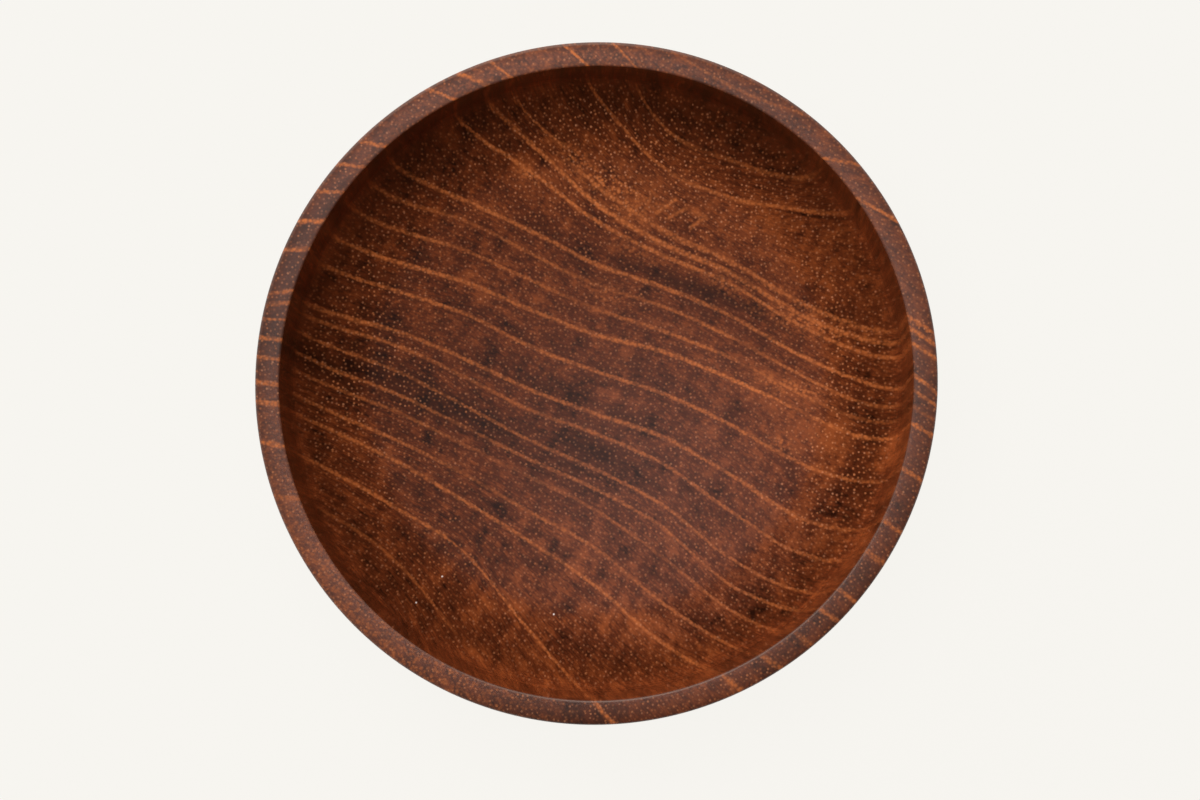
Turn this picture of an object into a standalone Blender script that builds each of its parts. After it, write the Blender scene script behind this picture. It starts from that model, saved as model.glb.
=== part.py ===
"""A small turned wooden sauce bowl, modelled as the one solid that it is.

The bowl is turned from a single block with the fibres upright, so it has no joint and no second piece.
Its half section is drawn in lines and arcs and spun about Z, and the turned corners are then eased.
Units are metres. The origin is the middle of the foot's contact plane, with +Z up through the mouth.
"""

import math

import bmesh
import bpy

MM = 0.001

# Driving dimensions
RIM_DIAMETER = 80 * MM
HEIGHT = 30 * MM
RIM_LAND = 2.85 * MM
FLOOR_HEIGHT = 6 * MM
FOOT_DIAMETER = 48 * MM

# Rim: a land that falls away outwards from a crest near the mouth, with its outer corner eased the more
RIM_CREST = 0.6 * MM
RIM_FALL = 0.35 * MM
OUTER_EASE = 0.45 * MM
INNER_EASE = 0.25 * MM

# Inside: a wall with a little draft, and a cove that touches both the wall and the dished floor
INNER_DRAFT = math.radians(4)
COVE_RADIUS = 13 * MM
FLOOR_RADIUS = 100 * MM

# Outside: a wall that curves gently inwards, then a round heel that runs under to the foot
WALL_RADIUS = 110 * MM
WALL_LEAN = math.radians(1.5)
HEEL_LEAN = math.radians(8)
HEEL_RADIUS = 16.2 * MM
HEEL_END = math.radians(75)

# Foot: a low ring with a shallow recess turned inside it
FOOT_DRAFT = 0.3 * MM
FOOT_LAND = 4.2 * MM
FOOT_COVE = 0.9 * MM
FOOT_EASE = 0.3 * MM
RECESS_DEPTH = 1.2 * MM
RECESS_SLOPE = 0.8 * MM

# Facets
SPIN_STEPS = 112
LAND_STEPS = 4
FLOOR_STEPS = 4
WALL_STEPS = 4
ARC_STEPS = 9
EASE_SEGMENTS = 3
SMOOTH_ANGLE = math.radians(35)
WELD = 1e-6

RIM_CORNER = RIM_DIAMETER / 2 + OUTER_EASE * math.tan(WALL_LEAN)
MOUTH_CORNER = RIM_DIAMETER / 2 - RIM_LAND
CREST_RADIUS = MOUTH_CORNER + RIM_CREST
FOOT_TOP = FOOT_DIAMETER / 2
FOOT_CORNER = FOOT_TOP - FOOT_DRAFT
RECESS_CORNER = FOOT_CORNER - FOOT_LAND

WOOD_COLOUR = (0.16, 0.045, 0.016, 1.0)
WOOD_ROUGHNESS = 0.5


def clear_scene():
    for existing in list(bpy.data.objects):
        bpy.data.objects.remove(existing, do_unlink=True)


def arc(centre, radius, start, end, steps):
    """Points (r, z) along an arc, both ends included. Angles run from +r towards +z."""
    angles = [start + (end - start) * step / steps for step in range(steps + 1)]
    return [(centre[0] + radius * math.cos(a), centre[1] + radius * math.sin(a)) for a in angles]


def rim_height(radius):
    """The land's height at a radius: highest at the crest, with a shallow curve down to both corners."""
    return HEIGHT - RIM_FALL * ((radius - CREST_RADIUS) / (RIM_CORNER - CREST_RADIUS)) ** 2


def cove_centre(floor_centre):
    """The centre (r, z) of the cove, which touches the drafted wall and lies inside the floor's arc."""
    slope = math.tan(INNER_DRAFT)
    from_floor_centre = FLOOR_RADIUS - COVE_RADIUS
    wall_rise = floor_centre - rim_height(MOUTH_CORNER)
    level_reach = MOUTH_CORNER + wall_rise * slope - COVE_RADIUS / math.cos(INNER_DRAFT)
    across = math.sqrt((1 + slope**2) * from_floor_centre**2 - level_reach**2)
    drop = (level_reach * slope + across) / (1 + slope**2)
    return (level_reach - drop * slope, floor_centre - drop)


def inside_profile():
    """From the middle of the dished floor, round the cove, to the foot of the inner wall."""
    floor_centre = FLOOR_HEIGHT + FLOOR_RADIUS
    centre = cove_centre(floor_centre)
    joint = math.atan2(centre[1] - floor_centre, centre[0])
    floor = arc((0.0, floor_centre), FLOOR_RADIUS, -math.pi / 2, joint, FLOOR_STEPS)
    return floor[:-1] + arc(centre, COVE_RADIUS, joint, -INNER_DRAFT, ARC_STEPS)


def rim_profile():
    """Across the rim's land, from the mouth's corner over the crest to the outer corner."""
    pitch = (RIM_CORNER - CREST_RADIUS) / LAND_STEPS
    radii = [MOUTH_CORNER] + [CREST_RADIUS + pitch * step for step in range(LAND_STEPS + 1)]
    return [(radius, rim_height(radius)) for radius in radii]


def outside_profile():
    """Down the outer wall and round the heel, then under to the top of the foot."""
    wall_centre = (
        RIM_CORNER - WALL_RADIUS * math.cos(WALL_LEAN),
        rim_height(RIM_CORNER) + WALL_RADIUS * math.sin(WALL_LEAN),
    )
    wall = arc(wall_centre, WALL_RADIUS, -WALL_LEAN, -HEEL_LEAN, WALL_STEPS)
    heel_centre = (
        wall[-1][0] - HEEL_RADIUS * math.cos(HEEL_LEAN),
        wall[-1][1] + HEEL_RADIUS * math.sin(HEEL_LEAN),
    )
    heel = arc(heel_centre, HEEL_RADIUS, -HEEL_LEAN, -HEEL_END, ARC_STEPS)
    return wall[1:] + heel[1:]


def foot_profile(heel_foot):
    """From the heel's last point down the foot ring, across its flat face and into the recess."""
    foot_height = heel_foot[1] - (heel_foot[0] - FOOT_TOP) / math.tan(HEEL_END)
    return [
        (FOOT_TOP, foot_height),
        (FOOT_CORNER, 0.0),
        (RECESS_CORNER, 0.0),
        (RECESS_CORNER - RECESS_SLOPE, RECESS_DEPTH),
        (0.0, RECESS_DEPTH),
    ]


def spin(points):
    """A closed mesh turned about Z from a half section that starts and ends on the axis."""
    turned = bmesh.new()
    corners = [turned.verts.new((r, 0.0, z)) for r, z in points]
    edges = [turned.edges.new(pair) for pair in zip(corners, corners[1:])]
    bmesh.ops.spin(
        turned,
        geom=corners + edges,
        axis=(0, 0, 1),
        cent=(0, 0, 0),
        steps=SPIN_STEPS,
        angle=2 * math.pi,
        use_merge=True,
    )
    bmesh.ops.remove_doubles(turned, verts=turned.verts, dist=WELD)
    bmesh.ops.recalc_face_normals(turned, faces=turned.faces)
    return turned


def ease(turned, corner, width):
    """Rounds the turned corner that runs round the bowl at this (r, z)."""
    on_corner = {
        v for v in turned.verts if math.dist((math.hypot(v.co.x, v.co.y), v.co.z), corner) < 10 * WELD
    }
    bmesh.ops.bevel(
        turned,
        geom=[edge for edge in turned.edges if on_corner.issuperset(edge.verts)],
        offset=width,
        offset_type="OFFSET",
        segments=EASE_SEGMENTS,
        profile=0.5,
        affect="EDGES",
    )


def wood():
    material = bpy.data.materials.new("oiled_hardwood")
    material.use_nodes = True
    shader = material.node_tree.nodes["Principled BSDF"]
    shader.inputs["Base Color"].default_value = WOOD_COLOUR
    shader.inputs["Roughness"].default_value = WOOD_ROUGHNESS
    shader.inputs["Metallic"].default_value = 0.0
    return material


def make_bowl():
    outside = outside_profile()
    foot = foot_profile(outside[-1])
    rim = rim_profile()
    turned = spin(inside_profile() + rim + outside + foot)
    ease(turned, rim[0], INNER_EASE)
    ease(turned, rim[-1], OUTER_EASE)
    ease(turned, foot[0], FOOT_COVE)
    ease(turned, (FOOT_CORNER, 0.0), FOOT_EASE)
    ease(turned, (RECESS_CORNER, 0.0), FOOT_EASE)
    mesh = bpy.data.meshes.new("bowl")
    turned.to_mesh(mesh)
    turned.free()
    mesh.shade_smooth()
    mesh.set_sharp_from_angle(angle=SMOOTH_ANGLE)
    mesh.materials.append(wood())
    bowl = bpy.data.objects.new("bowl", mesh)
    bpy.context.scene.collection.objects.link(bowl)


clear_scene()
make_bowl()
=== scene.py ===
"""Looks of a small turned hardwood sauce bowl, seen from straight above.

The bowl is one turned piece, remade here as a fine mesh from the same half section as its solid.
Its wood is a solid texture in the block's own directions, with the fibres upright: floor and rim show end
grain, with pores as dots and growth layers as lines, and the walls show the same layers cut lengthwise.
The mesh is in metres. The half section and the wood's own values are in millimetres.
"""

import math
from collections import namedtuple
from functools import reduce

import bmesh
import bpy
import numpy as np
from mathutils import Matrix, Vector


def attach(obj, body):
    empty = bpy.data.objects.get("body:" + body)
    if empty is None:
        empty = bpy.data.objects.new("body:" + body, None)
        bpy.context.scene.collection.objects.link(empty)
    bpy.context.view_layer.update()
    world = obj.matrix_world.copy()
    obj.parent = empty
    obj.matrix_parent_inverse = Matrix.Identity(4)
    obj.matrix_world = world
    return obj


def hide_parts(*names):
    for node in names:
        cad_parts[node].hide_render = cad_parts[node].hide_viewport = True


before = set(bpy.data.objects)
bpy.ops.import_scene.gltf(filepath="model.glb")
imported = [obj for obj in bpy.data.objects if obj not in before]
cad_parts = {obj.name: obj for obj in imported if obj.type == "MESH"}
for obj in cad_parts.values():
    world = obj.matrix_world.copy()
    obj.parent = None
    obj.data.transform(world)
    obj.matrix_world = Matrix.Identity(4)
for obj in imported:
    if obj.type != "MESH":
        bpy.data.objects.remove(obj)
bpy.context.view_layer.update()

MM = 0.001
EVERYWHERE = 99

# Half section, as in the solid
RIM_RADIUS = 40
HEIGHT = 30
RIM_LAND = 2.85
RIM_CREST = 0.6
RIM_FALL = 0.35
OUTER_EASE = 0.45
INNER_EASE = 0.25
FLOOR_HEIGHT = 6
FLOOR_RADIUS = 100
COVE_RADIUS = 13
INNER_DRAFT = math.radians(4)
WALL_RADIUS = 110
WALL_LEAN = math.radians(1.5)
HEEL_LEAN = math.radians(8)
HEEL_RADIUS = 16.2
HEEL_END = math.radians(75)
FOOT_RADIUS = 24
FOOT_DRAFT = 0.3
FOOT_LAND = 4.2
FOOT_COVE = 0.9
FOOT_EASE = 0.3
RECESS_DEPTH = 1.2
RECESS_SLOPE = 0.8
MOUTH_CORNER = RIM_RADIUS - RIM_LAND
RIM_CORNER = RIM_RADIUS + OUTER_EASE * math.tan(WALL_LEAN)
CREST_RADIUS = MOUTH_CORNER + RIM_CREST
RIM_BOTTOM = HEIGHT - RIM_FALL - OUTER_EASE
RIM_SLACK = 0.01

# Mesh
TURN_STEPS = 288
POINT_STEP = 0.6
LAND_STEPS = 8
EASE_STEPS = 6
WELD = 1e-7
SMOOTH_ANGLE = math.radians(40)

# As it dried, the block has gone a little oval
OVAL = 0.0036
OVAL_AZIMUTH = math.radians(45)

# Growth lines. A course is a line's y + GRAIN_SLOPE * x at floor level, read at these stations along x.
GRAIN_SLOPE = 0.4
STATIONS = (-40, -32, -24, -16, -8, 0, 8, 16, 24, 32, 40)
MIDDLE = STATIONS.index(0)
LINE_FADE = 1.5
GrowthLine = namedtuple("GrowthLine", "width strength course start end", defaults=(-EVERYWHERE, EVERYWHERE))
GROWTH_LINES = (
    GrowthLine(0.4, 0.4, (58, 57, 56, 54, 51, 46, 41, 38.7, 39.1, 41, 43)),
    GrowthLine(0.4, 0.7, (52, 51, 50, 48, 45, 40.5, 33.5, 32.8, 33.2, 36, 38)),
    GrowthLine(0.4, 0.87, (46, 45, 43.8, 42, 39, 33.6, 29, 28.6, 29.9, 30.7, 30)),
    GrowthLine(0.45, 0.95, (37.6, 36.2, 34.6, 32.4, 27.9, 25.9, 24.6, 23.4, 22.4, 21.8, 21.5), end=-4),
    GrowthLine(0.55, 0.88, (36.2, 34.8, 33.2, 31, 27.2, 23.8, 21.6, 21, 19.2, 18.2, 17.8), start=-3),
    GrowthLine(0.55, 1.0, (32.4, 31.2, 29.8, 27.8, 25.4, 21.6, 20.1, 19.7, 17.8, 17, 16.7)),
    GrowthLine(0.42, 1.0, (27.4, 26.4, 25.1, 23.5, 22.1, 19.6, 18.7, 18.4, 16.5, 15.3, 14.8)),
    GrowthLine(0.42, 1.05, (15.6, 15.3, 15.1, 15.4, 15.2, 14.5, 14.9, 14.6, 12.9, 11.8, 10.6)),
    GrowthLine(0.36, 0.75, (11.4, 11.6, 11.9, 13.1, 12.5, 12, 12.6, 12, 10.5, 9.1, 9.2)),
    GrowthLine(0.36, 0.8, (7, 7.6, 8.5, 9.6, 9.3, 9.1, 9.6, 9.4, 8.1, 7.1, 7.4)),
    GrowthLine(0.42, 1.1, (2.7, 3.6, 4.7, 5.8, 5.8, 6, 7.1, 6.9, 6.1, 5, 5.6)),
    GrowthLine(0.38, 0.93, (-1, 0.2, 1.3, 2, 1.35, 1.55, 2, 1.3, -0.4, -0.8, 0)),
    GrowthLine(0.4, 0.86, (-6.4, -4.8, -3.5, -3.4, -3.9, -3.65, -3.3, -4.8, -7.2, -7.5, -7)),
    GrowthLine(0.38, 0.77, (-7.5, -6.2, -5.2, -5.6, -6.4, -6.1, -6.6, -9.2, -11.7, -11.7, -11.1)),
    GrowthLine(0.36, 0.79, (-9, -8.6, -8.2, -9.1, -10.1, -10.5, -11.6, -15, -16.5, -16.5, -16)),
    GrowthLine(0.36, 0.75, (-11.2, -11.3, -11, -11.7, -12.5, -12.9, -14.4, -18.2, -19.2, -19.1, -18.8)),
    GrowthLine(0.36, 0.62, (-13.5, -13.4, -13.2, -13.9, -14.6, -15.5, -18, -21.3, -22.7, -22.4, -22)),
    GrowthLine(0.38, 0.8, (-16.2, -16.5, -16.7, -17.5, -18.9, -20.2, -23.6, -25.8, -26.3, -26, -25.8)),
    GrowthLine(0.42, 0.86, (-18.6, -18.7, -19.3, -20.8, -22.5, -24.8, -28.6, -30.3, -30.6, -30.4, -30.2)),
    GrowthLine(0.42, 0.92, (-23, -23.6, -24.9, -26.9, -33.4, -39.2, -41.7, -43, -44, -45, -46)),
    GrowthLine(0.4, 0.48, (-29, -29, -31.5, -38, -45, -49, -51, -52, -53, -54, -55), end=-17),
)
# One dark seam in the layers
SEAM_PLACE = 33.1
SEAM_WIDTH = 0.3
SEAM_START = 21
SEAM_FADE = 3
SEAM_TONE = -0.3

# How far the layers climb from floor level to the rim, read every 30 degrees round from +X, and how they
# bend again across the rim
LAYER_CLIMB = (4.8, 3.2, 2.55, 2.4, 3.05, 2.7, 1.4, 1.65, 1.6, 1.9, 2.0, 4.8)
RIM_BEND = 0.3
BEND_REACH = 5

# Soft patches of the block. Their places are x and the course at x, each with a reach, and an amount.
Patch = namedtuple("Patch", "x course reach_x reach_course amount")
# Lighter and darker heartwood, and two darker patches of painted shade under the upper wall
TONE_PATCHES = (
    Patch(15, 26, 14, 5, 0.22),
    Patch(-6, 22, 6, 4, 0.15),
    Patch(-2, 26.5, 3, 1.2, 0.1),
    Patch(4.5, 21, 2.5, 1.2, 0.12),
    Patch(6, 17.8, 3, 1, 0.12),
    Patch(16.5, 18, 2.5, 1, 0.16),
    Patch(26, 29.3, 4, 1, 0.1),
    Patch(-15, 14, 4, 3, 0.08),
    Patch(-3, 10.3, 3, 1, 0.12),
    Patch(35.5, 3, 2, 3, 0.2),
    Patch(27, -1.5, 2, 2, 0.15),
    Patch(18, -14, 3, 1.5, 0.1),
    Patch(3, -27.5, 2.5, 1.5, 0.15),
    Patch(-6.5, -33, 1.5, 3, 0.1),
    Patch(-9, 22, 3, 1, 0.1),
    Patch(25, 24, 6, 4, 0.08),
    Patch(26.5, 17, 2.5, 1, 0.14),
    Patch(30, 15, 7, 4, 0.12),
    Patch(12, 9, 8, 3, 0.13),
    Patch(-10, 8, 9, 4, 0.12),
    Patch(25, 5, 9, 5, 0.24),
    Patch(28, 3.5, 4, 3, 0.12),
    Patch(23, -9, 9, 5, 0.15),
    Patch(13, -20, 6, 5, 0.08),
    Patch(3, -27, 9, 7, 0.18),
    Patch(-10, -37, 8, 6, 0.16),
    Patch(-9, -31, 4, 2, 0.06),
    Patch(-28, -20, 8, 4, 0.07),
    # Painted shade: darker where the upper-left wall's shade falls
    Patch(-14, 25, 4, 4, -0.15),
    Patch(-20, 18, 7, 5, -0.1),
    Patch(-25, 13, 4, 5, -0.12),
    Patch(5, 33.5, 8, 2.5, -0.1),
    # Painted shade: darker along the top of the hollow, under the wall's shade
    Patch(14, 36, 12, 2, -0.12),
    Patch(12, 16.2, 9.5, 1.1, -0.3),
    Patch(33, 6, 2, 2, -0.2),
    Patch(32, 11, 3, 1.5, -0.1),
    Patch(-21, 7, 2, 1.5, -0.12),
    Patch(-12, 2.6, 12, 0.9, -0.1),
    Patch(-5, -2.4, 10, 1.2, -0.14),
    Patch(4, -2.4, 3, 1.6, -0.12),
    Patch(0, -7.8, 5, 1.3, -0.2),
    Patch(28, -5, 1.6, 3, -0.1),
    Patch(-20, -9.8, 9, 2, -0.32),
    Patch(-34, -11.5, 5, 2, -0.35),
    Patch(-28, -15, 3, 1.2, -0.1),
    Patch(-27, 2, 3, 2, -0.1),
    Patch(-27, -3, 2.5, 1.5, -0.12),
    Patch(-12, 12, 2, 1.2, -0.12),
    Patch(17.5, 8, 1.5, 1.2, -0.12),
    Patch(18, 33.5, 9, 1.5, -0.12),
    Patch(0, -9.3, 4, 1.5, -0.12),
    Patch(-16, -26.5, 5, 2, -0.08),
    Patch(-13, -36, 4, 1.5, -0.08),
    Patch(-6, -12, 8, 3, -0.1),
    Patch(-30, -6, 8, 5, -0.1),
    Patch(0, -6, 6, 6, -0.06),
    Patch(18.5, -19.5, 3, 1.2, -0.16),
    Patch(13, -24, 4, 1.3, -0.2),
    Patch(-24, -22.5, 2.5, 2, -0.16),
    Patch(-27, -28.5, 2.5, 1.5, -0.06),
    Patch(-22, -34, 4, 1.6, -0.12),
    Patch(0, -33, 5, 1.3, -0.16),
    Patch(4.2, 21.4, 1.8, 1.5, 0.14),
    Patch(28.3, 3.3, 2, 2.5, 0.16),
    Patch(15.5, -18, 1.8, 1.5, 0.14),
    Patch(-24, -17.5, 2.5, 1.8, 0.12),
    Patch(-7, 14.5, 3, 1.5, 0.08),
    Patch(-15, 17.5, 2, 1.5, 0.08),
    Patch(-5, -36.5, 2, 1.2, 0.12),
    Patch(3.5, -28, 2, 1.3, 0.08),
    Patch(-25, -28.5, 2, 2, 0.08),
    Patch(22, -1.5, 3, 2, 0.08),
    Patch(9.5, 18, 2, 1.2, 0.08),
    Patch(33, 21, 2, 2.5, 0.1),
    Patch(-20, -11, 3, 1.5, -0.12),
    Patch(-2.5, -11.5, 2.5, 1.5, -0.1),
    Patch(2, -19, 2.5, 1, -0.1),
    Patch(-12.5, 12, 2, 1.2, -0.08),
    Patch(18, 8.5, 2, 1.2, -0.1),
    Patch(26.5, -6.5, 1.5, 1.2, -0.12),
    Patch(-25, 2.3, 3, 1, -0.1),
    Patch(0.5, 2.5, 2.5, 0.8, -0.08),
    Patch(-27, -8, 1.5, 1, -0.1),
    Patch(-31, -22, 2.5, 2, -0.08),
    Patch(35.5, 7, 1.5, 2, -0.1),
    Patch(-0.8, 22.9, 2, 0.5, -0.16),
    Patch(2, 21.4, 1.5, 0.4, -0.12),
    Patch(-31, -10.5, 3, 0.8, 0.14),
    Patch(31, 18.5, 3, 1.5, -0.12),
    Patch(6, -20.6, 3, 0.8, -0.12),
    Patch(9, 0.6, 3, 1, 0.1),
    Patch(31, -9, 2, 1, 0.12),
    Patch(18, 13, 3, 1.2, 0.1),
    Patch(31, 0.5, 1.2, 1.5, -0.12),
)
# Small dark spots
DARK_PATCHES = (
    Patch(-5, -22.4, 0.9, 1.1, -0.3),
    Patch(2.6, -18.7, 1.3, 2.2, -0.25),
    Patch(12.9, -12, 0.8, 1.6, -0.35),
    Patch(14.4, -7.2, 1.1, 1.0, -0.4),
    Patch(22.8, -4.8, 0.9, 1.1, -0.4),
    Patch(24, -12.6, 2.2, 1.0, -0.3),
    Patch(-11.5, -20, 1.2, 1.0, -0.3),
    Patch(-7.5, -28.2, 1.3, 1.1, -0.35),
    Patch(-33, -20, 1.0, 1.3, -0.4),
    Patch(-30, -14.6, 1.0, 0.9, -0.4),
    Patch(-20.3, -14.4, 0.9, 1.1, -0.3),
    Patch(-5.5, -34.5, 1.4, 1.2, -0.4),
    Patch(25, 5.5, 0.8, 0.9, -0.4),
    Patch(18.3, 3.2, 1.6, 1.1, -0.25),
    Patch(29, -5, 2.2, 3.0, -0.3),
    Patch(31, 8.2, 2.0, 1.3, -0.3),
    Patch(-3.2, 25.8, 0.9, 0.8, -0.4),
    Patch(19, -21, 2.0, 1.2, -0.25),
    Patch(14, -23.8, 2.5, 1.0, -0.25),
)
# Stretches where the growth lines fade or are vivid
LINE_PATCHES = (
    Patch(13, 33, 1.8, 1.0, -0.8),
    Patch(20, 33, 7, 1.2, -0.3),
    Patch(38, 7.4, 3, 0.9, -0.8),
    Patch(10, 28.9, 3.5, 1.2, -0.4),
    Patch(28, 30.5, 3.0, 1.2, -0.3),
    Patch(18, 19.3, 1.5, 0.7, -0.5),
    Patch(2, 18.8, 2.5, 0.7, -0.3),
    Patch(-17, 12.9, 5.0, 1.0, -0.5),
    Patch(0, 12, 5.0, 1.0, -0.5),
    Patch(18.5, 11.7, 1.7, 0.9, -0.8),
    Patch(-16, 9.6, 6.0, 1.0, -0.35),
    Patch(-2, 9.1, 3.5, 1.0, -0.5),
    Patch(18, 9.2, 1.6, 0.9, -0.7),
    Patch(30, 7.5, 4.0, 0.9, -0.6),
    Patch(25.4, 6.1, 1.3, 0.9, -0.8),
    Patch(22, 0.3, 2.0, 0.9, -0.3),
    Patch(34, 0, 2.5, 1.0, -0.4),
    Patch(-6, -6.3, 2.0, 0.9, -0.4),
    Patch(-17, -5.6, 5.0, 0.9, -0.35),
    Patch(-24, -8.2, 5.0, 0.9, -0.35),
    Patch(-16, -11.6, 4.0, 0.9, -0.4),
    Patch(13, -17, 3.0, 0.9, -0.25),
    Patch(-10, -14.3, 5.0, 0.9, -0.65),
    Patch(-2, -15.2, 2.0, 0.9, -0.4),
    Patch(8, -18, 3.5, 0.9, -0.6),
    Patch(22, -22.5, 3.0, 0.9, -0.5),
    Patch(-12, -18, 7.0, 0.9, -0.5),
    Patch(4, -21.5, 4.0, 0.9, -0.55),
    Patch(18, -26, 2.5, 0.9, -0.4),
    Patch(-6, -23.2, 1.0, 0.8, -0.4),
    Patch(-18, -10, 12, 6, -0.18),
    Patch(-12, 15, 12, 1.2, -0.18),
    Patch(14, 14.3, 5, 1.0, -0.22),
    Patch(-14, 5.8, 9, 1.0, -0.22),
    Patch(16, 6.8, 4, 1.0, 0.3),
    Patch(12, 9.4, 4, 1.0, 0.3),
    Patch(14, 12, 3, 0.8, 0.3),
    Patch(0, 21.5, 5, 3, 0.3),
    Patch(-1, 22, 4, 1.5, 0.3),
    Patch(-22, 15.2, 2, 1.0, -0.3),
    Patch(-2, 14.6, 2.5, 1.0, -0.2),
    Patch(18, 14.4, 2.5, 1.0, -0.25),
    Patch(-14, 13, 2.5, 0.8, -0.3),
    Patch(6, 12.5, 2.5, 0.8, -0.3),
    Patch(26, 10.2, 2, 0.8, 0.4),
    Patch(-26, 8.3, 1.5, 0.8, -0.4),
    Patch(-22, 8.8, 1.5, 0.8, 0.4),
    Patch(24, 8.2, 3, 0.8, 0.5),
    Patch(-4, 6, 4, 0.8, -0.25),
    Patch(20, 6.6, 2.5, 0.8, 0.3),
    Patch(-22, 1.6, 2, 0.8, 0.3),
    Patch(-11, 1.6, 6, 0.8, -0.25),
    Patch(6, 1.9, 2, 0.8, -0.3),
    Patch(-38, -6.6, 2, 1.2, -0.55),
    Patch(-3.5, 35.8, 2.5, 1.5, 0.6),
    Patch(2.2, 38.2, 2, 1.3, 0.8),
    Patch(28, 34.8, 2.5, 1.2, 0.5),
)
# Where the orange of the lines spreads out in loose grains
LOOSE_PATCHES = (
    Patch(23.5, 8.4, 4.0, 0.9, 0.9),
    Patch(26, 17, 5.0, 1.4, 0.8),
    Patch(0.3, 24.4, 3, 1.2, 0.9),
    Patch(-3, 26.2, 2, 1.0, 0.6),
    Patch(4, 22.5, 2.2, 1.1, 0.9),
    Patch(5, 25, 4, 1.5, 0.4),
    Patch(-8.1, 21.7, 1.3, 0.8, 0.8),
    Patch(16, 18.2, 3, 1.0, 0.5),
    Patch(5, 17.8, 3, 0.8, 0.4),
    Patch(1.5, 11.5, 2.0, 1.2, 0.5),
    Patch(22.5, 1, 1.3, 0.7, 1.0),
)
# Where the pores are clear or faint
PORE_PATCHES = (
    Patch(4, 28, 20, 10, 0.9),
    Patch(30, 2, 7, 14, 0.75),
    Patch(-29, -8, 8, 14, 0.4),
    Patch(29, 18, 4, 5, 0.4),
    Patch(12, 16.2, 10, 1.5, -0.45),
)
# Where ripples across the layers are clear
RIPPLE_PATCHES = (
    Patch(-14, -26, 9, 5, 1.0),
    Patch(0, -25, 7, 5, 0.8),
)
# Rays cut in the floor, each a stroke from one plan point to another, and how strong it is
RayStroke = namedtuple("RayStroke", "start end strength")
RAY_STROKES = (
    RayStroke(Vector((7.3, 20.8)), Vector((9.6, 22.4)), 0.8),
    RayStroke(Vector((8.7, 20.2)), Vector((10.8, 21.3)), 0.6),
    RayStroke(Vector((11.4, 19.0)), Vector((13.3, 20.4)), 0.7),
    RayStroke(Vector((11.6, 21.0)), Vector((13.3, 20.1)), 0.4),
    RayStroke(Vector((5.8, 20.9)), Vector((6.6, 22.8)), 0.5),
    RayStroke(Vector((4.6, 21.0)), Vector((5.4, 22.2)), 0.4),
)
RAY_EDGE = 0.4
RAY_LEAST = 0.4
# White chips in the floor, each a plan point
WHITE_SPECKS = ((-5.2, -27.9), (-18.7, -23.3), (-21.7, -26.3))
SPECK_EDGE = 0.15
SPECK_CORE = 0.05
HOLLOW_FADE = 1

# Wood colours
DARK_HEART = (0.018, 0.0043, 0.0018, 1)
HEART = (0.112, 0.0232, 0.0066, 1)
LIGHT_HEART = (0.285, 0.066, 0.016, 1)
GROWTH_ORANGE = (0.56, 0.152, 0.039, 1)
PORE_ORANGE = (0.62, 0.212, 0.078, 1)
PORE_BEIGE = (0.64, 0.265, 0.13, 1)
# Grey of the rim: partly sanding dust, partly a painted sheen
SANDING_DUST_AND_SHEEN = (0.16, 0.088, 0.071, 1)
# Colour of the painted highlight on the rim's eased edges
EDGE_GLINT_PAINT = (0.3, 0.2, 0.165, 1)
SPECK_WHITE = (0.8, 0.7, 0.64, 1)

# Soft noise patterns: repeats per mm along x, across the layers and up the fibres, then how much finer
# detail they hold and how strong it is
Pattern = namedtuple("Pattern", "grain detail roughness", defaults=(2.0, 0.5))

# Heartwood patterns and their weights in the tone. The fine ones grow calm where patches are dark.
MIDDLE_TONE = 0.44
PATCH_TONE = 1.12
BANDS = Pattern((0.1, 0.55, 0.01))
BAND_TONE = 0.55
CLOUDS = Pattern((0.13, 0.22, 0.02), 3.0, 0.55)
CLOUD_TONE = 0.2
MOTTLE = Pattern((0.6, 1.1, 0.06), 3.0, 0.65)
MOTTLE_TONE = 1.05
STREAKS = Pattern((1.6, 3.4, 0.1), 3.0, 0.75)
STREAK_TONE = 1.15
CALM = 0.45
CALM_PATCHES = (-0.3, -0.05)
SPOTS = Pattern((1.0, 1.0, 0.06))
SPOT_EDGE = (-0.15, 0.1)
# Ripples across the layers, with repeats along the layers in place of x
RIPPLE_WAY = Vector((0.86, -0.5, 0))
RIPPLES = Pattern((0.62, 0.17, 0.03), 2.0, 0.6)
RIPPLE_TONE = 0.85
# Turning marks, with repeats out from the axis and up in place of x and the layers
MARK_PITCH = 0.35
MARK_DRIFT = 0.1
MARKS = Pattern((1 / MARK_PITCH, 1 / MARK_PITCH, 1))
MARK_TONE = 0.7
# How far a surface faces up or down where end grain starts and is full, and the same for long grain
END_GRAIN = (0.18, 0.48)
LONG_GRAIN = (0.6, 0.1)
# Long grain is paler than end grain; part of this gain is painted light on the walls, standing in for lamp
# light they lack
LONG_GRAIN_AND_PAINTED_LIGHT_GAIN = 1.2

# Growth lines' edges and grains, and the loose grains beside them
LINE_WANDER = 0.25
LINE_FRAY = 0.45
LINE_CORE = 0.15
LINE_LEAST = 0.25
LINE_SWELL = 0.62
LINE_GRAINS = 0.5
LONG_GRAIN_LINES = 0.35
SWELLS = Pattern((0.45, 0.45, 0.03))
FRAYS = Pattern((2.2, 2.2, 0.15), 2.0, 0.6)
GRAIN_SPACING = 0.45
GRAIN_RANDOMNESS = 1.0
GRAIN_EDGE = (0.75, 0.1)
LOOSE_CLUMPS = Pattern((1.1, 1.6, 0.1))
LOOSE_EDGE = (-0.12, 0.1)
LOOSE_GAIN = 1.1

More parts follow.
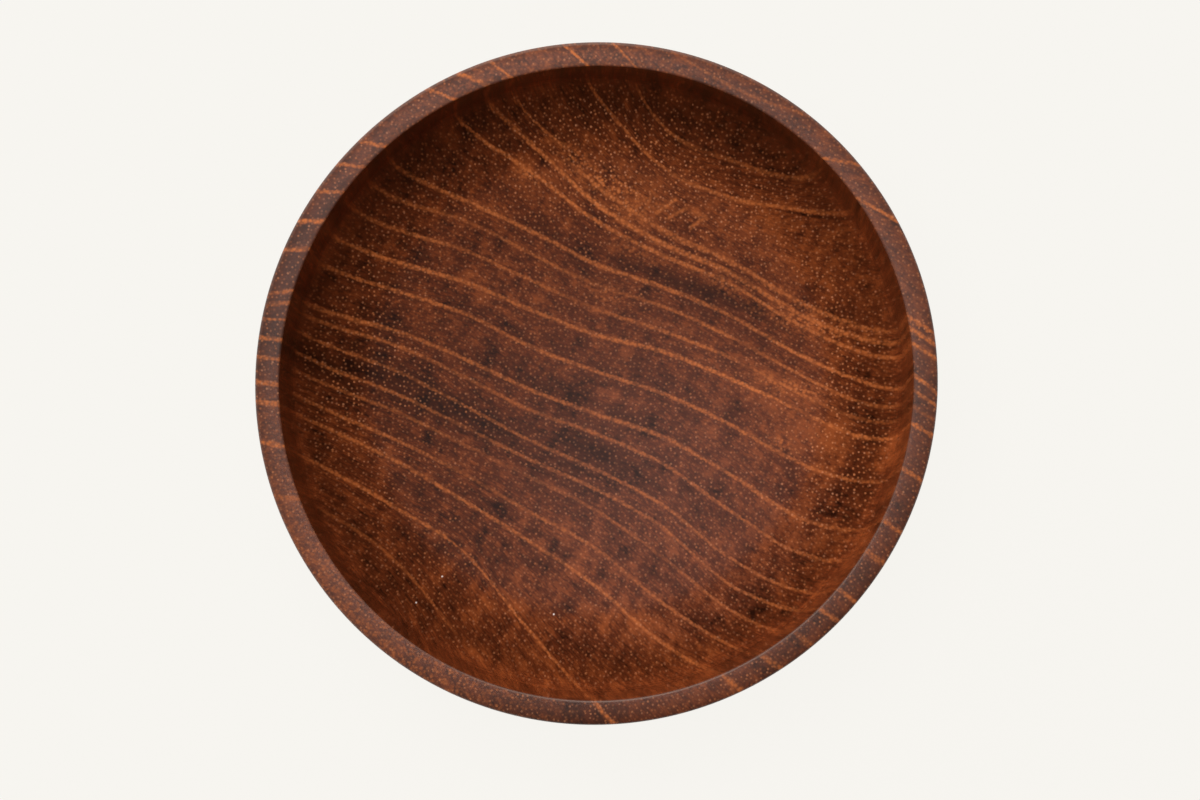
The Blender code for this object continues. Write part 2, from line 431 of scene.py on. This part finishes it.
# Pores
PORE_SPACING = 0.61
PORE_RANDOMNESS = 0.92
PORE_EDGE = 0.35
PORE_CORE = 0.05
PORE_SIZES = 0.06
PORE_LEAST = 0.16
PORE_GAIN = 0.34
CLUSTERS = Pattern((0.3, 0.3, 0.02))
CLUSTER_MIDDLE = 0.92
CLUSTER_GAIN = 1.1
VESSELS = Pattern((0.8, 0.8, 0.12))
VESSEL_EDGE = (-0.05, 0.1)
VESSEL_SHARE = 0.5
BEIGE_CHANCE = (0.4, 1.0)

# Satin oil finish
OILED_ROUGHNESS = 0.34
LINE_ROUGHNESS = 0.1
PORE_RELIEF = 0.2
PORE_DEPTH = 0.05

# Rim finish, read at even angles round from +X: its tone, its loose orange grains, a painted highlight on
# its two edges, and a grey cast that is partly the dust of its last sanding and partly painted sheen
RIM_TONES = (
    -0.06, 0.12, 0.06, 0.12, 0.05, -0.04, 0.05, 0.1, 0.05, 0.03, -0.21, -0.18,
    -0.16, 0.02, 0.17, 0.15, 0.03, -0.26, -0.25, 0.02, -0.13, -0.13, -0.09, -0.03,
)
RIM_GRAINS = (0.06, 0.1, 0.1, 0.25, 0.2, 0.04, 0.06, 0.25, 0.35, 0.02, 0.08, 0.06)
# Painted highlight along the rim's inner and outer eased edges, strongest where they face the window lamp
INNER_GLINT = (0.15, 0.0, 0.0, 0.0, 0.0, 0.2, 0.8, 0.55)
OUTER_GLINT = (0.1, 0.2, 0.6, 0.4, 0.15, 0.15, 0.0, 0.0)
GLINT_REACH = 0.08
RIM_DUST_AND_SHEEN = (0.31, 0.28, 0.26, 0.27, 0.3, 0.35, 0.14, 0.2)
RIM_SPREAD = 0.88
RIM_LINES = 1.22
RIM_PORES = 1.1

# Stage, with the floor and the lamps in metres and the camera in millimetres
PALE = (0.93, 0.913, 0.871, 1)
FLOOR_HALF = 4.0
SHADE_SHARE = 0.025
ROOM_LIGHT = 0.015
OVERHEAD_LIGHT = 0.4
OVERHEAD_TILT = math.radians(8)
OVERHEAD_AZIMUTH = math.radians(100)
OVERHEAD_EDGE = (math.cos(math.radians(36)), math.cos(math.radians(21)))
LAMP_AZIMUTH = math.radians(121)
LAMP_DISTANCE = 1.0
Lamp = namedtuple("Lamp", "name elevation size energy")
LAMPS = (
    Lamp("ceiling_panel", math.radians(77), 0.5, 8.2),
    Lamp("window", math.radians(26), 0.9, 2.8),
)
CAMERA_PLACE = (0.41, -1.93, 580)
CAMERA_SENSOR = 36
FRAME_WIDTH = 140.4


class Socket:
    """An output socket of a node tree. Arithmetic on it adds Math nodes."""

    def __init__(self, tree, output=None):
        self.tree = tree
        self.output = output

    def node(self, kind, settings, inputs, output=0):
        """Adds a node: its settings first, then its sockets' values or links. Returns one of its outputs."""
        made = self.tree.nodes.new(kind)
        for name, value in settings.items():
            if name == "stops":
                fill_ramp(made.color_ramp, value)
            else:
                setattr(made, name, value)
        for name, value in inputs.items():
            if isinstance(value, Socket):
                self.tree.links.new(value.output, made.inputs[name])
            else:
                made.inputs[name].default_value = value
        return Socket(self.tree, made.outputs[output] if len(made.outputs) else None)

    def also(self, output):
        """Another output of the node that this socket is on."""
        return Socket(self.tree, self.output.node.outputs[output])

    def math(self, operation, *values):
        return self.node("ShaderNodeMath", {"operation": operation}, dict(enumerate(values)))

    def __add__(self, other):
        return self.math("ADD", self, other)

    def __sub__(self, other):
        return self.math("SUBTRACT", self, other)

    def __rsub__(self, other):
        return self.math("SUBTRACT", other, self)

    def __mul__(self, other):
        return self.math("MULTIPLY", self, other)

    def __pow__(self, other):
        return self.math("POWER", self, other)

    def __abs__(self):
        return self.math("ABSOLUTE", self)

    __radd__ = __add__
    __rmul__ = __mul__

    def most(self, other):
        return self.math("MAXIMUM", self, other)

    def step(self, low, high):
        """0 at low, 1 at high and smooth between; low may be the greater."""
        limits = {"Value": self, "From Min": low, "From Max": high}
        return self.node("ShaderNodeMapRange", {"interpolation_type": "SMOOTHSTEP"}, limits)

    def ramp(self, *stops):
        """The colour at this value on a ramp of (place, colour) stops."""
        return self.node("ShaderNodeValToRGB", {"stops": stops}, {0: self})

    def tint(self, colour, other):
        """The first colour where this value is 0, the other where it is 1."""
        return self.node("ShaderNodeMix", {"data_type": "RGBA"}, {0: self, 6: colour, 7: other}, 2)

    def times(self, scale):
        """A vector multiplied by another, axis by axis."""
        return self.node("ShaderNodeVectorMath", {"operation": "MULTIPLY"}, {0: self, 1: scale})

    def scaled(self, amount):
        """A vector or colour multiplied by a number."""
        return self.node("ShaderNodeVectorMath", {"operation": "SCALE"}, {0: self, "Scale": amount})

    def length(self):
        return self.node("ShaderNodeVectorMath", {"operation": "LENGTH"}, {0: self}, "Value")

    def distance(self, other):
        return self.node("ShaderNodeVectorMath", {"operation": "DISTANCE"}, {0: self, 1: other}, "Value")

    def along(self, direction):
        """How far this vector reaches along a direction."""
        values = {0: self, 1: direction}
        return self.node("ShaderNodeVectorMath", {"operation": "DOT_PRODUCT"}, values, "Value")

    def axis(self, name):
        return self.node("ShaderNodeSeparateXYZ", {}, {0: self}, name)

    def plan(self):
        """This place seen from above, with no height."""
        return self.times((1, 1, 0))

    def noise(self, pattern):
        """Soft noise about 0 over this vector."""
        finer = {"Detail": pattern.detail, "Roughness": pattern.roughness}
        values = {"Vector": self.times(pattern.grain), "Scale": 1.0, **finer}
        return self.node("ShaderNodeTexNoise", {"noise_dimensions": "3D"}, values) - 0.5


def fill_ramp(ramp, stops):
    while len(ramp.elements) < len(stops):
        ramp.elements.new(1.0)
    for element, (place, colour) in zip(ramp.elements, stops):
        element.position = place
        element.color = colour


def new_material(name):
    """An empty material, and the start of its node tree."""
    material = bpy.data.materials.new(name)
    material.use_nodes = True
    material.node_tree.nodes.clear()
    return material, Socket(material.node_tree)


def arc(centre, radius, start, end):
    """Points (r, z) along an arc, both ends included. Angles run from +r towards +z."""
    steps = max(2, round(radius * abs(end - start) / POINT_STEP))
    angles = [start + (end - start) * step / steps for step in range(steps + 1)]
    return [(centre[0] + radius * math.cos(a), centre[1] + radius * math.sin(a)) for a in angles]


def line(start, end):
    """Points from start up to, and without, end."""
    steps = max(1, round(math.dist(start, end) / POINT_STEP))
    shares = [step / steps for step in range(steps)]
    return [tuple(a + (b - a) * share for a, b in zip(start, end)) for share in shares]


def towards(corner, other, width):
    """The point this far from a corner on the way to another point."""
    share = width / math.dist(corner, other)
    return tuple(a + (b - a) * share for a, b in zip(corner, other))


def eased(before, corner, after, width):
    """A rounded corner, from width before it to width after it."""
    ends = (towards(corner, before, width), corner, towards(corner, after, width))
    points = []
    for step in range(EASE_STEPS + 1):
        t = step / EASE_STEPS
        weights = ((1 - t) ** 2, 2 * t * (1 - t), t**2)
        points.append(tuple(sum(w * p[i] for w, p in zip(weights, ends)) for i in (0, 1)))
    return points


def rim_height(radius):
    """The land's height at a radius: highest at the crest, with a shallow curve down to both corners."""
    return HEIGHT - RIM_FALL * ((radius - CREST_RADIUS) / (RIM_CORNER - CREST_RADIUS)) ** 2


def cove_centre(floor_centre):
    """The centre (r, z) of the cove, which touches the drafted wall and lies inside the floor's arc."""
    slope = math.tan(INNER_DRAFT)
    from_floor_centre = FLOOR_RADIUS - COVE_RADIUS
    wall_rise = floor_centre - rim_height(MOUTH_CORNER)
    level_reach = MOUTH_CORNER + wall_rise * slope - COVE_RADIUS / math.cos(INNER_DRAFT)
    across = math.sqrt((1 + slope**2) * from_floor_centre**2 - level_reach**2)
    drop = (level_reach * slope + across) / (1 + slope**2)
    return (level_reach - drop * slope, floor_centre - drop)


def inside():
    """From the middle of the dished floor, round the cove, to the foot of the inner wall."""
    floor_centre = FLOOR_HEIGHT + FLOOR_RADIUS
    centre = cove_centre(floor_centre)
    joint = math.atan2(centre[1] - floor_centre, centre[0])
    floor = arc((0.0, floor_centre), FLOOR_RADIUS, -math.pi / 2, joint)
    return floor[:-1] + arc(centre, COVE_RADIUS, joint, -INNER_DRAFT)


def outside():
    """Down the outer wall from the rim's corner and round the heel."""
    wall_centre = (
        RIM_CORNER - WALL_RADIUS * math.cos(WALL_LEAN),
        rim_height(RIM_CORNER) + WALL_RADIUS * math.sin(WALL_LEAN),
    )
    wall = arc(wall_centre, WALL_RADIUS, -WALL_LEAN, -HEEL_LEAN)
    heel_centre = (
        wall[-1][0] - HEEL_RADIUS * math.cos(HEEL_LEAN),
        wall[-1][1] + HEEL_RADIUS * math.sin(HEEL_LEAN),
    )
    return wall + arc(heel_centre, HEEL_RADIUS, -HEEL_LEAN, -HEEL_END)[1:]


def half_section():
    """The bowl's half section, from the middle of its floor over the rim and under to its middle again."""
    hollow, back = inside(), outside()
    pitch = (RIM_CORNER - CREST_RADIUS) / LAND_STEPS
    radii = [CREST_RADIUS + pitch * step for step in range(LAND_STEPS - 1)]
    land = [(radius, rim_height(radius)) for radius in radii]
    mouth = (MOUTH_CORNER, rim_height(MOUTH_CORNER))
    rim = (RIM_CORNER, rim_height(RIM_CORNER))
    heel = back[-1]
    foot_top = (FOOT_RADIUS, heel[1] - (heel[0] - FOOT_RADIUS) / math.tan(HEEL_END))
    foot = (FOOT_RADIUS - FOOT_DRAFT, 0.0)
    recess = (foot[0] - FOOT_LAND, 0.0)
    recess_top = (recess[0] - RECESS_SLOPE, RECESS_DEPTH)
    middle = (0.0, RECESS_DEPTH)
    return (
        hollow[:-1]
        + line(hollow[-1], towards(mouth, hollow[-1], INNER_EASE))
        + eased(hollow[-1], mouth, land[0], INNER_EASE)
        + land
        + eased(land[-1], rim, back[1], OUTER_EASE)
        + back[1:-1]
        + line(heel, towards(foot_top, heel, FOOT_COVE))
        + eased(heel, foot_top, foot, FOOT_COVE)
        + eased(foot_top, foot, recess, FOOT_EASE)
        + eased(foot, recess, recess_top, FOOT_EASE)
        + line(recess_top, middle)
        + [middle]
    )


def turned_mesh():
    """The half section spun about Z."""
    turned = bmesh.new()
    corners = [turned.verts.new((r * MM, 0.0, z * MM)) for r, z in half_section()]
    edges = [turned.edges.new(pair) for pair in zip(corners, corners[1:])]
    bmesh.ops.spin(
        turned,
        geom=corners + edges,
        axis=(0, 0, 1),
        cent=(0, 0, 0),
        steps=TURN_STEPS,
        angle=2 * math.pi,
        use_merge=True,
    )
    bmesh.ops.remove_doubles(turned, verts=turned.verts, dist=WELD)
    bmesh.ops.recalc_face_normals(turned, faces=turned.faces)
    mesh = bpy.data.meshes.new("bowl_turned")
    turned.to_mesh(mesh)
    turned.free()
    mesh.shade_smooth()
    mesh.set_sharp_from_angle(angle=SMOOTH_ANGLE)
    return mesh


def make_oval(mesh):
    """Stretches the round mesh along one diameter and draws it in along the other."""
    longer = Vector((math.cos(OVAL_AZIMUTH), math.sin(OVAL_AZIMUTH), 0))
    shorter = Vector((-longer.y, longer.x, 0))
    for vertex in mesh.vertices:
        vertex.co += OVAL * (vertex.co.dot(longer) * longer - vertex.co.dot(shorter) * shorter)


def along_course(x, course):
    """A smooth curve through one growth line's readings."""
    pitch = STATIONS[1] - STATIONS[0]
    place = np.clip((x - STATIONS[0]) / pitch, 0, len(course) - 1)
    first = np.minimum(place.astype(int), len(course) - 2)
    t = place - first
    ends = np.pad(np.array(course, float), 1, mode="reflect", reflect_type="odd")
    p0, p1, p2, p3 = (ends[first + offset] for offset in range(4))
    bend = 2 * p0 - 5 * p1 + 4 * p2 - p3 + t * (3 * (p1 - p2) + p3 - p0)
    return p1 + t / 2 * (p2 - p0 + t * bend)


def round_the_bowl(points, values):
    """Values read at even angles from +X, at each point's own angle."""
    turn = np.linspace(0, 2 * math.pi, len(values), endpoint=False)
    return np.interp(np.arctan2(points.T[1], points.T[0]), turn, values, period=2 * math.pi)


def read_across(points):
    """Each point's y + GRAIN_SLOPE * x, carried down the climbing layers to the bowl's floor."""
    x, y, z = points.T
    climb = round_the_bowl(points, LAYER_CLIMB) * (z - FLOOR_HEIGHT) / (HEIGHT - FLOOR_HEIGHT)
    on_rim = np.clip(1 - (HEIGHT - z) / BEND_REACH, 0, 1)
    bend = RIM_BEND * np.clip(np.hypot(x, y) - MOUTH_CORNER, 0, None) * on_rim
    return y + GRAIN_SLOPE * x - climb + bend


def layers_of(x, across):
    """Each point's place across the layers, in mm as at x = 0, and how far they spread against x = 0."""
    courses = [along_course(x, growth.course) for growth in GROWTH_LINES]
    places = [growth.course[MIDDLE] for growth in GROWTH_LINES]
    layer = np.full(len(x), np.nan)
    spread = np.ones(len(x))
    for upper in reversed(range(len(courses) - 1)):
        here = (courses[upper] - courses[upper + 1]) / (places[upper] - places[upper + 1])
        above = across - courses[upper + 1]
        reached = np.isnan(layer) | (above > 0)
        layer = np.where(reached, places[upper + 1] + above / here, layer)
        spread = np.where(reached, here, spread)
    return layer, spread


def patched(x, across, patches):
    """The sum of soft patches at each point."""
    total = np.zeros(len(x))
    for patch in patches:
        away = ((x - patch.x) / patch.reach_x) ** 2 + ((across - patch.course) / patch.reach_course) ** 2
        total += patch.amount * np.exp(-away)
    return total


def painted_edge_glints(points):
    """A painted highlight in two thin rings, on the eased corners inside and outside the rim."""
    x, y, z = points.T
    radius = np.hypot(x, y)
    edges = ((MOUTH_CORNER + GLINT_REACH, INNER_GLINT), (RIM_RADIUS - OUTER_EASE / 2, OUTER_GLINT))
    wear = np.zeros(len(points))
    for edge, amounts in edges:
        wear += round_the_bowl(points, amounts) * np.exp(-(((radius - edge) / GLINT_REACH) ** 2))
    return wear * (z > RIM_BOTTOM)


def mark(mesh, name, values):
    """Keeps one number for each vertex with the mesh."""
    mesh.attributes.new(name, "FLOAT", "POINT").data.foreach_set("value", values.astype(np.float32))


def read_mark(start, name):
    return start.node("ShaderNodeAttribute", {"attribute_name": name}, {}, "Fac")


def vector(x, y, z):
    """A vector from three sockets or numbers, of which x is a socket."""
    return x.node("ShaderNodeCombineXYZ", {}, {0: x, 1: y, 2: z})


def cells(flat, spacing, randomness):
    """How far each point of the plan is from the middle of its cell, in cells."""
    kind = {"voronoi_dimensions": "2D", "feature": "F1"}
    values = {"Vector": flat, "Scale": 1 / spacing, "Randomness": randomness}
    return flat.node("ShaderNodeTexVoronoi", kind, values, "Distance")


def strongest(masks):
    """The greatest of several masks at each point."""
    return reduce(Socket.most, masks)


def in_hollow(place):
    """1 in the hollow and 0 under the bowl."""
    return place.axis("Z").step(FLOOR_HEIGHT - HOLLOW_FADE, FLOOR_HEIGHT)


def heart_and_shade_tone(place, grain, long_grain):
    """Light and dark of the heartwood, from broad bands along the layers down to fine fibre streaks, with a
    little painted shade under the upper wall from the patches.
    """
    patches = read_mark(place, "tone")
    bands = BAND_TONE * grain.noise(BANDS)
    clouds = CLOUD_TONE * grain.noise(CLOUDS)
    mottle = MOTTLE_TONE * grain.noise(MOTTLE)
    streaks = STREAK_TONE * grain.noise(STREAKS)
    rippled = vector(place.along(RIPPLE_WAY), grain.axis("Y"), place.axis("Z"))
    ripples = RIPPLE_TONE * rippled.noise(RIPPLES) * read_mark(place, "rippled")
    lively = CALM + (1 - CALM) * patches.step(*CALM_PATCHES)
    turned = vector(place.plan().length(), place.axis("Z"), MARK_DRIFT * place.axis("X"))
    fine = (mottle + streaks + ripples) * lively + MARK_TONE * turned.noise(MARKS) * long_grain
    return MIDDLE_TONE + patches + bands + clouds + fine


def dark_spots(place):
    """Small ragged spots, as a change of tone."""
    return read_mark(place, "dark") * place.noise(SPOTS).step(*SPOT_EDGE)


def dark_seam(place, layer):
    """A thin line along one layer, as a change of tone."""
    begun = place.axis("X").step(SEAM_START - SEAM_FADE, SEAM_START + SEAM_FADE)
    return SEAM_TONE * (abs(layer - SEAM_PLACE).step(SEAM_WIDTH, 0) * begun)


def growth_lines(place, layer, grains):
    """Where the pale growth lines are: rows of soft grains that swell and thin out along the line."""
    x = place.axis("X")
    spread = read_mark(place, "spread")
    swell = place.noise(SWELLS)
    across = layer + LINE_WANDER * swell + LINE_FRAY * place.noise(FRAYS)
    lines = []
    for growth in GROWTH_LINES:
        away = abs(across - growth.course[MIDDLE]) * spread
        one = away.step(growth.width, LINE_CORE * growth.width) * growth.strength
        if growth.start > -EVERYWHERE:
            one = one * x.step(growth.start - LINE_FADE, growth.start + LINE_FADE)
        if growth.end < EVERYWHERE:
            one = one * x.step(growth.end + LINE_FADE, growth.end - LINE_FADE)
        lines.append(one)
    grained = strongest(lines) * (LINE_LEAST + LINE_SWELL * swell + LINE_GRAINS * grains)
    return grained * read_mark(place, "vivid")


def ray_flecks(place):
    """Short pale strokes across the layers, where rays are cut in the floor of the hollow."""
    flecks = []
    for stroke in RAY_STROKES:
        half = (stroke.end - stroke.start) / 2
        middle = stroke.start + half
        way = half.normalized()
        across = way.orthogonal()
        past = (abs(place.along(way.to_3d()) - middle.dot(way)) - half.length).most(0)
        beside = place.along(across.to_3d()) - middle.dot(across)
        flecks.append(vector(past, beside, 0).length().step(RAY_EDGE, 0) * stroke.strength)
    return strongest(flecks) * in_hollow(place)


def pale_wood(place, layer, end_grain):
    """Where the wood is pale orange: the growth lines, loose grains beside them and rays."""
    grains = cells(place.plan(), GRAIN_SPACING, GRAIN_RANDOMNESS).step(*GRAIN_EDGE)
    lines = growth_lines(place, layer, grains)
    loose = LOOSE_GAIN * read_mark(place, "loose") * place.noise(LOOSE_CLUMPS).step(*LOOSE_EDGE)
    flecks = ray_flecks(place) * (RAY_LEAST + (1 - RAY_LEAST) * grains)
    shown = LONG_GRAIN_LINES + (1 - LONG_GRAIN_LINES) * end_grain
    return strongest((lines, loose * grains, flecks)) * shown


def pore_dots(place, end_grain):
    """The open ends of the vessels, as soft dots of uneven size and strength, and each one's own colour."""
    away = cells(place.plan(), PORE_SPACING, PORE_RANDOMNESS)
    chance = away.also("Color")
    strength = PORE_LEAST + PORE_GAIN * chance.axis("X") ** 2
    size = PORE_SIZES * chance.axis("Y")
    dots = (away + size).step(PORE_EDGE, PORE_CORE) * strength
    vessels = place.noise(VESSELS).step(*VESSEL_EDGE)
    cut = (end_grain + VESSEL_SHARE * (1 - end_grain) * vessels) * read_mark(place, "porous")
    pores = dots * cut * (CLUSTER_MIDDLE + CLUSTER_GAIN * place.noise(CLUSTERS))
    return pores, chance.axis("Z").step(*BEIGE_CHANCE).tint(PORE_ORANGE, PORE_BEIGE)


def white_specks(place):
    """A few bright chips in the floor of the hollow."""
    flat = place.plan()
    specks = [flat.distance((x, y, 0)).step(SPECK_EDGE, SPECK_CORE) for x, y in WHITE_SPECKS]
    return strongest(specks) * in_hollow(place)


def oiled_wood():
    """Heartwood with pale lines and pores, under a satin oil finish. On the rim a grey cast is partly dust
    and partly painted sheen, with a painted highlight on its edges; the walls are lightened partly as paler
    long grain and partly by painted light.
    """
    material, start = new_material("oiled_hardwood")
    coordinates = start.node("ShaderNodeTexCoord", {}, {}, "Object")
    place = coordinates.times((1 / MM, 1 / MM, 1 / MM))
    upright = abs(coordinates.also("Normal").axis("Z"))
    end_grain = upright.step(*END_GRAIN)
    long_grain = upright.step(*LONG_GRAIN)
    layer = read_mark(start, "layer")
    grain = vector(place.axis("X"), layer, place.axis("Z"))

    tone = heart_and_shade_tone(place, grain, long_grain) + dark_spots(place) + dark_seam(place, layer)
    # The tone holds a little painted shade under the upper wall
    heart_and_shade = tone.ramp((0.0, DARK_HEART), (0.5, HEART), (1.0, LIGHT_HEART))
    # Grey cast on the rim: partly sanding dust, partly painted sheen
    dusty_and_sheened = read_mark(start, "dust").tint(heart_and_shade, SANDING_DUST_AND_SHEEN)
    pale = pale_wood(place, layer, end_grain)
    lined = pale.tint(dusty_and_sheened, GROWTH_ORANGE)
    pores, pore_colour = pore_dots(place, end_grain)
    dotted = pores.tint(lined, pore_colour)
    # Painted highlight on the rim's eased edges
    glinted = read_mark(start, "wear").tint(dotted, EDGE_GLINT_PAINT)
    specked = white_specks(place).tint(glinted, SPECK_WHITE)
    # The walls are lightened: partly paler long grain, partly painted light
    colour = specked.scaled(1 + LONG_GRAIN_AND_PAINTED_LIGHT_GAIN * long_grain * (1 - read_mark(start, "rim")))

    open_pores = {"Strength": PORE_RELIEF, "Distance": PORE_DEPTH * MM, "Height": 1 - pores}
    relief = start.node("ShaderNodeBump", {}, open_pores)
    roughness = OILED_ROUGHNESS + LINE_ROUGHNESS * pale
    finish = {"Base Color": colour, "Roughness": roughness, "Normal": relief}
    shader = start.node("ShaderNodeBsdfPrincipled", {}, finish)
    start.node("ShaderNodeOutputMaterial", {}, {"Surface": shader})
    return material


def mark_wood(mesh):
    """Marks each vertex of the round mesh with its layer in the block, with the wood's state there and with
    where shade, sheen and highlights are painted.
    """
    points = np.array([vertex.co for vertex in mesh.vertices]) / MM
    x, y, z = points.T
    across = read_across(points)
    layer, spread = layers_of(x, across)
    rim = (np.hypot(x, y) > MOUTH_CORNER - RIM_SLACK) & (z > RIM_BOTTOM)
    tone = PATCH_TONE * patched(x, across, TONE_PATCHES) + rim * round_the_bowl(points, RIM_TONES)
    vivid = np.clip(1 + patched(x, across, LINE_PATCHES), 0, None) * np.where(rim, RIM_LINES, 1)
    mark(mesh, "layer", layer)
    mark(mesh, "spread", np.where(rim, RIM_SPREAD * spread, spread))
    mark(mesh, "rim", rim)
    mark(mesh, "tone", tone)
    mark(mesh, "dark", patched(x, across, DARK_PATCHES))
    mark(mesh, "vivid", vivid)
    mark(mesh, "loose", patched(x, across, LOOSE_PATCHES) + rim * round_the_bowl(points, RIM_GRAINS))
    mark(mesh, "porous", np.where(rim, RIM_PORES, 1 + patched(x, across, PORE_PATCHES)))
    mark(mesh, "rippled", 1 + patched(x, across, RIPPLE_PATCHES))
    # Grey cast on the rim: partly sanding dust, partly painted sheen
    mark(mesh, "dust", rim * round_the_bowl(points, RIM_DUST_AND_SHEEN))
    # Painted highlight on the rim's eased edges
    mark(mesh, "wear", painted_edge_glints(points))


def make_bowl():
    mesh = turned_mesh()
    mark_wood(mesh)
    make_oval(mesh)
    mesh.materials.append(oiled_wood())
    bowl = bpy.data.objects.new("bowl_turned", mesh)
    bpy.context.scene.collection.objects.link(bowl)
    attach(bowl, "root")
    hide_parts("bowl")


def pale_floor():
    """A matt floor that the camera sees at the backdrop's own brightness, with a share of its shade kept."""
    material, start = new_material("pale_floor")
    matt = start.node("ShaderNodeBsdfDiffuse", {}, {"Color": PALE})
    plain = start.node("ShaderNodeEmission", {}, {"Color": PALE, "Strength": 1.0})
    seen = start.node("ShaderNodeLightPath", {}, {}, "Is Camera Ray") * (1 - SHADE_SHARE)
    floor = start.node("ShaderNodeMixShader", {}, {0: seen, 1: matt, 2: plain})
    start.node("ShaderNodeOutputMaterial", {}, {"Surface": floor})
    return material


def make_floor():
    corners = [(-1, -1), (1, -1), (1, 1), (-1, 1)]
    mesh = bpy.data.meshes.new("floor")
    mesh.from_pydata([(FLOOR_HALF * x, FLOOR_HALF * y, 0) for x, y in corners], [], [(0, 1, 2, 3)])
    mesh.materials.append(pale_floor())
    floor = bpy.data.objects.new("floor", mesh)
    bpy.context.scene.collection.objects.link(floor)


def light_from(azimuth, elevation):
    """The direction towards a light."""
    level = math.cos(elevation)
    return Vector((math.cos(azimuth) * level, math.sin(azimuth) * level, math.sin(elevation)))


def make_room():
    """A dim room with a soft bright patch overhead, which the camera sees as the pale backdrop."""
    world = bpy.data.worlds.new("soft_room")
    bpy.context.scene.world = world
    world.use_nodes = True
    world.node_tree.nodes.clear()
    start = Socket(world.node_tree)
    way = start.node("ShaderNodeTexCoord", {}, {}, "Generated")
    patch = light_from(OVERHEAD_AZIMUTH, math.pi / 2 - OVERHEAD_TILT)
    overhead = way.along(patch).step(*OVERHEAD_EDGE)
    strength = ROOM_LIGHT + OVERHEAD_LIGHT * overhead
    room = start.node("ShaderNodeBackground", {}, {"Color": (1, 1, 1, 1), "Strength": strength})
    plain = start.node("ShaderNodeBackground", {}, {"Color": PALE, "Strength": 1.0})
    seen = start.node("ShaderNodeLightPath", {}, {}, "Is Camera Ray")
    both = start.node("ShaderNodeMixShader", {}, {0: seen, 1: room, 2: plain})
    start.node("ShaderNodeOutputWorld", {}, {"Surface": both})


def make_lamp(lamp):
    """A large round soft light that leaves no highlight of its own."""
    way = light_from(LAMP_AZIMUTH, lamp.elevation)
    light = bpy.data.lights.new(lamp.name, "AREA")
    light.shape = "DISK"
    light.size = lamp.size
    light.energy = lamp.energy
    made = bpy.data.objects.new(lamp.name, light)
    made.location = way * LAMP_DISTANCE
    made.rotation_mode = "QUATERNION"
    made.rotation_quaternion = (-way).to_track_quat("-Z", "Y")
    made.visible_glossy = False
    bpy.context.scene.collection.objects.link(made)


def make_camera():
    """Straight above the bowl, a little off its axis, as in the photograph."""
    lens = bpy.data.cameras.new("camera")
    lens.sensor_width = CAMERA_SENSOR
    lens.lens = CAMERA_SENSOR * (CAMERA_PLACE[2] - HEIGHT) / FRAME_WIDTH
    camera = bpy.data.objects.new("camera", lens)
    camera.location = Vector(CAMERA_PLACE) * MM
    bpy.context.scene.collection.objects.link(camera)
    bpy.context.scene.camera = camera


make_bowl()
make_floor()
make_room()
for lamp in LAMPS:
    make_lamp(lamp)
make_camera()
bpy.context.scene.view_settings.view_transform = "Standard"
